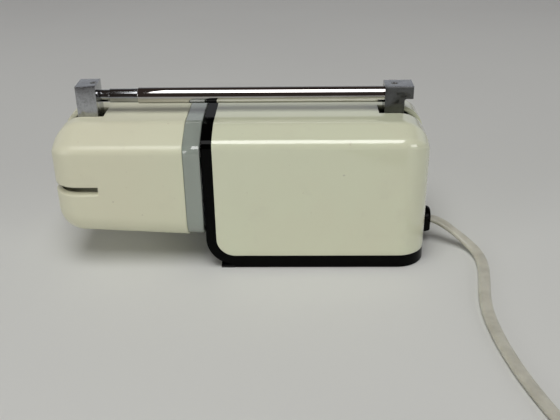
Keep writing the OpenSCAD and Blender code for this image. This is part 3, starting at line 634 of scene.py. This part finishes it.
# A shell's upper corner: a bend from the upright side, a slope, and a soft fold to the flat top
BEND, FOLD = 0.0053, 0.012
BASE_DROP, BASE_SLOPE = 0.0089, math.radians(20)
REAR_EDGE = 0.015  # the rounding of the base's rear wall
BAND, CORNER = 0.0052, 0.0098  # the tray's lower band, and the front lower corner's rounding
# Room round a bracket in its shell's slot: at its sides, ahead of its leg and under it
SLOT_PLAY, SLOT_AHEAD, SLOT_UNDER = 0.00035, 0.0027, 0.0006
LEG = 0.0101  # the base bracket's leg, along X


def corner_line(bend, drop, slope, share=1.0):
    """A shell's upper corner, from the side to the flat top, as (in, down) from the side and top."""
    meet = (bend * (1 - math.sin(slope)), drop - bend * math.cos(slope))
    fold = meet[0] + meet[1] / math.tan(slope) + FOLD * math.tan(slope / 2)
    line = [(bend * (1 - math.cos(a)), drop - bend * math.sin(a))
            for a in spread(0, math.pi / 2 - slope, 12)]
    line += [(fold - FOLD * math.sin(a), FOLD * (1 - math.cos(a))) for a in spread(slope, 0, 8)]
    return [(share * inward, share * down) for inward, down in line]


def arch_section(half_w, low, top, share):
    """The base's section, up one side, over the top and down the other."""
    corner = corner_line(BEND, BASE_DROP, BASE_SLOPE, share)
    left = [(-half_w, z) for z in spread(low, top - corner[0][1], SIDE_POINTS)][:-1]
    left += [(-half_w + inward, top - down) for inward, down in corner][:-1]
    flat = half_w - corner[-1][0]
    roof = [(y, top) for y in spread(-flat, flat, TOP_POINTS)]
    return left + roof + [(-y, z) for y, z in left[::-1]]


def base_skin():
    """The ivory shell's outer face: an arch along X, closed at the rear by a rounded wall."""
    low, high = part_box("base_shell")
    half_w, top, rear, front = high.y, high.z, high.x, low.x
    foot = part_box("base_tray")[0].z + BAND
    stations = []
    for angle in spread(0, math.pi / 2, 12):
        stations.append((front + CORNER * (1 - math.cos(angle)), 0,
                         foot + CORNER * (1 - math.sin(angle))))
    stations += [(x, 0, foot) for x in spread(stations[-1][0], rear - REAR_EDGE, 30)[1:]]
    for angle in spread(0, math.pi / 2, 18)[1:]:
        stations.append((rear - REAR_EDGE * (1 - math.sin(angle)),
                         REAR_EDGE * (1 - math.cos(angle)), foot))
    points, columns = [], 0
    for x, inset, edge in stations:
        section = arch_section(half_w - inset, edge, top - inset, 1 - inset / REAR_EDGE)
        columns = len(section)
        points += [Vector((x, y, z)) for y, z in section]
    faces = rings_to_faces(len(stations), columns)
    start = len(points)
    for z in spread(foot, top - REAR_EDGE, SIDE_POINTS):
        points += [Vector((rear, y, z))
                   for y in spread(-half_w + REAR_EDGE, half_w - REAR_EDGE, TOP_POINTS)]
    faces += [tuple(start + v for v in face) for face in rings_to_faces(SIDE_POINTS, TOP_POINTS)]
    return new_piece("base_housing", points, faces)


def face_out(piece, inside):
    """Turns an open skin's faces away from a point inside it."""
    work = bmesh.new()
    work.from_mesh(piece.data)
    face = max(work.faces, key=lambda f: f.calc_area())
    if face.normal.dot(face.calc_center_median() - inside) < 0:
        bmesh.ops.reverse_faces(work, faces=work.faces)
    work.to_mesh(piece.data)
    work.free()


def thicken(piece, wall):
    """Gives an open skin a wall, on its inner side."""
    step = piece.modifiers.new("wall", "SOLIDIFY")
    step.thickness, step.offset, step.use_even_offset = wall, -1, True
    return freeze(piece)


def make_base_shell():
    """The base's ivory shell, with its bracket slot and the seat of the cord bushing."""
    low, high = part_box("base_shell")
    bracket_low, bracket_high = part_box("base_bracket")
    shell = base_skin()
    face_out(shell, (low + high) / 2)
    thicken(shell, WALL)
    half = bracket_high.y + SLOT_PLAY
    slot = box_shape((bracket_low.x - SLOT_AHEAD, -half, bracket_low.z - SLOT_UNDER),
                     (high.x + PAST, half, high.z + PAST))
    seat_low, seat_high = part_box("cord_bushing")
    rim = 0.0014  # the bushing's flange covers the hole's edge by this
    seat = box_shape((high.x - WALL - 0.0035, seat_low.y + rim, low.z),
                     (high.x + PAST, seat_high.y - rim, seat_high.z - rim))
    cut(shell, [slot, seat])
    bevel(shell, 0.0003, 2, 50)
    keep(soften(shell, 30), "base", "ivory_plastic", "base_shell")


def make_bracket_channel():
    """The two ribs and the floor that close the base's slot off behind the bracket."""
    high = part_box("base_shell")[1]
    bracket_low, bracket_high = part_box("base_bracket")
    rib, gap, behind = 0.002, 0.0002, 0.0014  # a rib's width, its gap to the shell, and to the leg
    half, floor = bracket_high.y + SLOT_PLAY, bracket_low.z - SLOT_UNDER
    start, end = bracket_low.x + LEG + behind, high.x - WALL - gap / 2
    ceiling, bend = high.z - WALL - gap, REAR_EDGE - WALL
    outline = [(start, ceiling), (start, floor - rib), (end, floor - rib)]
    outline += [(end - bend * (1 - math.cos(a)), ceiling - bend * (1 - math.sin(a)))
                for a in spread(0, math.pi / 2, 12)]
    for side, name in ((-1, "bracket_channel_left"), (1, "bracket_channel_right")):
        keep(side_shape(name, outline, side * half, side * (half + rib)), "base", "ivory_plastic")
    floor_piece = box_shape((start, -half, floor - rib), (end, half, floor - gap))
    floor_piece.name = "bracket_channel_floor"
    keep(bevel(floor_piece, 0.0002, 2), "base", "ivory_plastic")


def dome_ring(y, z, radius, foot):
    """The cord bushing's outline: half a circle, two upright sides and a flat foot."""
    ring = [(y + radius * math.cos(a), z + radius * math.sin(a)) for a in spread(0, math.pi, 36)]
    ring += [(y - radius, height) for height in spread(z, foot, 6)[1:]]
    ring += [(across, foot) for across in spread(y - radius, y + radius, 8)[1:-1]]
    return ring + [(y + radius, height) for height in spread(foot, z, 6)[:-1]]


def make_bushing():
    """The black cord bushing: a dome with a flat foot, bored for the flat cord."""
    low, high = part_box("cord_bushing")
    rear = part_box("base_shell")[1].x
    middle_y, radius = (low.y + high.y) / 2, (high.y - low.y) / 2
    neck, crown = 0.0015, 0.0024  # how much narrower the neck is, and the dome at its end
    stations = [(rear - 0.004, neck), (rear, neck), (rear + 0.00005, 0.0)]
    stations += [(rear + (high.x - rear) * math.sin(a), crown * (1 - math.cos(a)))
                 for a in spread(0.08, math.pi / 2, 10)]
    points, count = [], 0
    for x, inset in stations:
        ring = dome_ring(middle_y, high.z - radius, radius - inset, low.z + 0.00005 + inset * 0.15)
        count = len(ring)
        points += [Vector((x, y, z)) for y, z in ring]
    bushing = new_piece("cord_bushing_dome", points, closed_tube(len(stations), count))
    start, play = Vector(ROUTE[0]) * MM, 0.0004
    hole = flat_tube("cutter", [start - Vector((0.005, 0, 0)), start + Vector((PAST, 0, 0))],
                     twin_section(CORD_W + play, CORD_T + play))
    cut(bushing, [hole])
    keep(soften(bushing, 40), "base", "black_plastic", "cord_bushing")


# ---------------------------------------------------------------- head

HEAD_EDGE, HEAD_END = 0.012, 0.014  # the rounding of the lower edges, and of the closed end
HEAD_DROP, HEAD_SLOPE = 0.011, math.radians(22)
HEAD_RISE = 0.003  # the underside rises by this towards the closed end


def head_section(half_w, low, top, share=1.0, inset=0.0):
    """The head's section, closed, with the same points whatever its size."""
    corner = corner_line(BEND - inset, HEAD_DROP - inset, HEAD_SLOPE, share)
    edge = (HEAD_EDGE - inset) * share
    left = [(-half_w + edge * (1 - math.sin(a)), low + edge * (1 - math.cos(a)))
            for a in spread(0, math.pi / 2, 12)][:-1]
    left += [(-half_w, z) for z in spread(low + edge, top - corner[0][1], SIDE_POINTS)][:-1]
    left += [(-half_w + inward, top - down) for inward, down in corner][:-1]
    flat = half_w - corner[-1][0]
    roof = [(y, top) for y in spread(-flat, flat, TOP_POINTS)]
    floor = [(y, low) for y in spread(half_w - edge, -half_w + edge, TOP_POINTS)][1:-1]
    return left + roof + [(-y, z) for y, z in left[::-1]] + floor


def head_skin():
    """The head's outer face: a closed section along X, shut at its far end by a rounded wall."""
    low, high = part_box("head_shell")
    stations = [(low.x + HEAD_END * (1 - math.sin(a)), HEAD_END * (1 - math.cos(a)))
                for a in spread(math.pi / 2, 0, 18)]
    stations += [(x, 0) for x in spread(low.x + HEAD_END, high.x, 24)[1:]]
    points, columns = [], 0
    for x, inset in stations:
        rise = HEAD_RISE * min(1.0, (high.x - x) / (high.x - low.x - HEAD_END))
        section = head_section(high.y - inset, low.z + rise + inset, high.z - inset,
                               1 - inset / HEAD_END)
        columns = len(section)
        points += [Vector((x, y, z)) for y, z in section]
    faces = rings_to_faces(len(stations), columns, close_columns=True)
    start = len(points)
    half, end_foot = high.y - HEAD_END, low.z + HEAD_RISE + HEAD_END
    for z in spread(end_foot, high.z - HEAD_END, SIDE_POINTS):
        points += [Vector((low.x, y, z)) for y in spread(-half, half, TOP_POINTS)]
    faces += [tuple(start + v for v in face) for face in rings_to_faces(SIDE_POINTS, TOP_POINTS)]
    return new_piece("head_housing", points, faces)


def vent_shape(low, high, side):
    """The cutter of a vent slot round a corner of the closed end. Its floor slopes out as a lip."""
    bottom, top, lip, reach = 0.0424, 0.0472, 0.0014, 0.0015
    along, bridge = 0.0438, 0.010  # from the slot's end to the mouth, and half the gap between slots
    path = [(high.x - along, high.y, 0, 1)]
    for a in spread(math.pi / 2, math.pi, 16):
        path.append((low.x + HEAD_END * (1 + math.cos(a)), high.y - HEAD_END * (1 - math.sin(a)),
                     math.cos(a), math.sin(a)))
    path.append((low.x, bridge, -1, 0))
    section = [(reach, bottom - lip * reach / WALL), (reach, top), (-WALL - reach, top),
               (-WALL - reach, bottom + lip * (1 + reach / WALL))]
    points = [Vector((x + nx * out, side * (y + ny * out), z))
              for x, y, nx, ny in path for out, z in section]
    return new_piece("cutter", points, closed_tube(len(path), len(section)))


def make_head_shell():
    """The head's ivory shell with its bracket slot and two vent slots."""
    low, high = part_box("head_shell")
    bracket_low, bracket_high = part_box("head_bracket")
    shell = head_skin()
    face_out(shell, (low + high) / 2)
    thicken(shell, WALL)
    half = bracket_high.y + SLOT_PLAY
    slot = box_shape((low.x - PAST, -half, bracket_low.z - SLOT_UNDER),
                     (bracket_high.x + SLOT_AHEAD, half, high.z + PAST))
    cut(shell, [slot, vent_shape(low, high, 1), vent_shape(low, high, -1)])
    bevel(shell, 0.0003, 2, 50)
    keep(soften(shell, 30), "head", "ivory_plastic", "head_shell")


def make_mouth_ring():
    """The grey ring at the head's mouth, with rounded edges, and the spigot inside the shell."""
    low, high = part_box("mouth_ring")
    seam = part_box("head_shell")[1].x + 0.00005
    spigot, bore, edge = 0.00225, 0.00375, 0.0007
    turn = spread(0, math.pi / 2, 6)
    # places along X, each with how far in from the ring's outline it lies
    profile = [(low.x, spigot), (seam, spigot), (seam, edge * 0.3), (seam + 0.00025, 0)]
    profile += [(high.x - edge * (1 - math.sin(a)), edge * (1 - math.cos(a))) for a in turn]
    profile += [(high.x - edge * (1 - math.cos(a)), bore - edge * (1 - math.sin(a))) for a in turn]
    profile += [(low.x, bore)]
    points, columns = [], 0
    for x, inset in profile:
        section = head_section(high.y - inset, low.z + inset, high.z - inset, 1.0, 0.0004 + inset)
        columns = len(section)
        points += [Vector((x, y, z)) for y, z in section]
    faces = rings_to_faces(len(profile), columns, close_rows=True, close_columns=True)
    ring = new_piece("mouth_bezel", points, faces)
    keep(soften(ring, 40), "head", "grey_plastic", "mouth_ring")


# ---------------------------------------------------------------- arm


def half_round(x, z, radius):
    """The round foot of a bracket, from its -X side to its +X side."""
    return [(x + radius * math.cos(a), z + radius * math.sin(a)) for a in spread(-math.pi, 0, 24)]


def bore_bracket(bracket, leg_x, pivot_z, tube, ends, screw):
    """Bores a bracket for its pivot pin, for a tube between two places on X, and for its screw."""
    pin_r, screw_r, play = 0.00205, 0.00165, 0.00003
    tube_low, tube_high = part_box(tube)
    arm_z, tube_r = (tube_low.z + tube_high.z) / 2, (tube_high.z - tube_low.z) / 2
    screw_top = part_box(screw)[1].z
    cut(bracket, [round_shape(1, (leg_x, pivot_z), pin_r, -0.02, 0.02),
                  round_shape(0, (0, arm_z), tube_r + play, *ends),
                  round_shape(2, (centre_of(screw).x, 0), screw_r, arm_z + 0.002,
                              screw_top + PAST)])


def make_base_bracket():
    """The base's chrome bracket, with the overhang that stops it against the rear wall."""
    low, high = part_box("base_bracket")
    pivot_z = centre_of("base_pivot_pin").z
    leg_x, fillet = low.x + LEG / 2, 0.0012
    # with the arm up, the overhang's underside stands a hair off the rear wall
    over = pivot_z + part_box("base_shell")[1].x - leg_x + 0.0002
    outline = half_round(leg_x, pivot_z, LEG / 2)
    outline += [(low.x + LEG + fillet * (1 - math.cos(a)), over - fillet * (1 - math.sin(a)))
                for a in spread(0, math.pi / 2, 6)]
    outline += [(high.x, over), (high.x, high.z), (low.x, high.z)]
    bracket = side_shape("base_arm_bracket", outline, -high.y, high.y)
    bore_bracket(bracket, leg_x, pivot_z, "outer_tube",
                 (low.x - PAST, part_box("outer_tube")[1].x), "base_set_screw")
    # its finish darkens the bracket's sides with painted shade
    keep(soften(bevel(bracket, 0.0007, 4), 30), "arm", "chrome_plate", "base_bracket",
         finish="chrome_painted_dark_sides")


def make_head_bracket():
    """The head's chrome bracket, a plain block with a round foot."""
    low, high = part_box("head_bracket")
    pivot_z = centre_of("head_pivot_pin").z
    half_leg = (high.x - low.x) / 2
    outline = half_round(low.x + half_leg, pivot_z, half_leg)
    outline += [(high.x, high.z), (low.x, high.z)]
    bracket = side_shape("head_arm_bracket", outline, -high.y, high.y)
    bore_bracket(bracket, low.x + half_leg, pivot_z, "inner_tube",
                 (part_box("inner_tube")[0].x, high.x + PAST), "head_set_screw")
    keep(soften(bevel(bracket, 0.0009, 4), 30), "inner_section", "chrome_plate", "head_bracket")


def make_tube(name, node, body, wall, finish):
    """One section of the telescopic arm, its outer edge rounded at the end towards the head."""
    low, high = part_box(node)
    radius, arm_z = (high.z - low.z) / 2, (low.z + high.z) / 2
    edge = wall * 0.9
    profile = [(low.x + edge * (1 - math.sin(a)), radius - edge * (1 - math.cos(a)))
               for a in spread(math.pi / 2, 0, 5)]
    profile += [(x, radius) for x in spread(low.x + edge, high.x, 5)[1:]]
    profile += [(high.x, radius - wall), (low.x, radius - wall)]
    turns = [math.tau * k / 72 for k in range(72)]
    points = [Vector((x, r * math.cos(a), arm_z + r * math.sin(a))) for x, r in profile for a in turns]
    faces = rings_to_faces(len(profile), len(turns), close_rows=True, close_columns=True)
    keep(soften(new_piece(name, points, faces), 40), body, "chrome_plate", node, finish=finish)


# ---------------------------------------------------------------- room and light


def make_stage():
    """A pale floor with painted light: paler still away from the lamp, and painted shade behind the
    camera.
    """
    reach = 3.5
    points = [Vector((x, y, 0)) for y in (-reach, 0, reach) for x in (-reach, 0, reach)]
    floor = new_piece("stage_floor", points, rings_to_faces(3, 3))
    s = Shader("stage_paper", (0.72, 0.73, 0.70), 0.6)
    away = s.node("ShaderNodeVectorMath", operation="LENGTH")
    s.link(s.place, away.inputs[0])
    # painted light: the floor grows paler with distance from the lamp
    s.tint((0.88, 0.89, 0.89), s.ramp(away.outputs["Value"], 0.25, 1.6, 0, 1))
    s.tint((0.70, 0.705, 0.685), s.ramp(s.noise(4, 3), 0.4, 0.7, 0, 0.4))
    # painted shade: the floor goes dark from just behind the camera onwards
    s.tint((0.16, 0.155, 0.15), s.ramp(s.axis("Y"), -0.45, -1.1, 0, 1))
    s.bump(s.noise(900, 4), 0.00003, 0.3)
    floor.data.materials.append(s.material)


def area_light(name, place, aim, size, power):
    """A white rectangular light, turned to a point."""
    data = bpy.data.lights.new(name, "AREA")
    data.shape, data.size, data.size_y = "RECTANGLE", size[0], size[1]
    data.energy = power
    light = bpy.data.objects.new(name, data)
    bpy.context.scene.collection.objects.link(light)
    place, aim = Vector(place), Vector(aim)
    light.location = place
    light.rotation_mode = "QUATERNION"
    light.rotation_quaternion = (aim - place).to_track_quat("-Z", "Y")


def make_lights():
    """A large soft key overhead and in front, and a low light at each side."""
    aim = (0, 0, 0.05)
    area_light("key_softbox", (-0.07, -0.50, 1.47), aim, (0.91, 1.05), 13.8)
    area_light("side_right", (1.3, -1.0, 0.50), aim, (0.9, 0.7), 5)
    area_light("side_left", (-1.3, -1.0, 0.50), aim, (0.9, 0.7), 5)


def make_world():
    """A dark room in front of the lamp and above it, and a pale wall low behind it."""
    world = bpy.data.worlds.new("room")
    world.use_nodes = True
    bpy.context.scene.world = world
    tree = world.node_tree
    place = tree.nodes.new("ShaderNodeTexCoord").outputs["Generated"]
    axes = tree.nodes.new("ShaderNodeSeparateXYZ")
    tree.links.new(place, axes.inputs["Vector"])
    both = tree.nodes.new("ShaderNodeMath")
    both.operation = "MULTIPLY"
    for i, (axis, dark, pale) in enumerate((("Y", -0.1, 0.6), ("Z", 0.62, 0.40))):
        fade = tree.nodes.new("ShaderNodeMapRange")
        fade.interpolation_type = "SMOOTHSTEP"
        fade.inputs["From Min"].default_value = dark
        fade.inputs["From Max"].default_value = pale
        tree.links.new(axes.outputs[axis], fade.inputs["Value"])
        tree.links.new(fade.outputs["Result"], both.inputs[i])
    mix = tree.nodes.new("ShaderNodeMix")
    mix.data_type = "RGBA"
    mix.inputs[6].default_value = (0.050, 0.038, 0.033, 1)
    mix.inputs[7].default_value = (0.40, 0.41, 0.43, 1)
    tree.links.new(both.outputs["Value"], mix.inputs[0])
    tree.links.new(mix.outputs[2], tree.nodes["Background"].inputs["Color"])


def main():
    make_camera()
    dress_cad_nodes()
    make_cord()
    make_bushing()
    make_base_shell()
    make_bracket_channel()
    make_head_shell()
    make_mouth_ring()
    make_base_bracket()
    make_head_bracket()
    make_tube("outer_arm_tube", "outer_tube", "arm", 0.0005, "tube_chrome")
    make_tube("middle_arm_tube", "middle_tube", "middle_section", 0.0004, "worn_chrome")
    make_tube("inner_arm_tube", "inner_tube", "inner_section", 0.0004, "worn_chrome")
    make_stage()
    make_lights()
    make_world()
    bpy.context.scene.view_settings.view_transform = "Standard"


main()
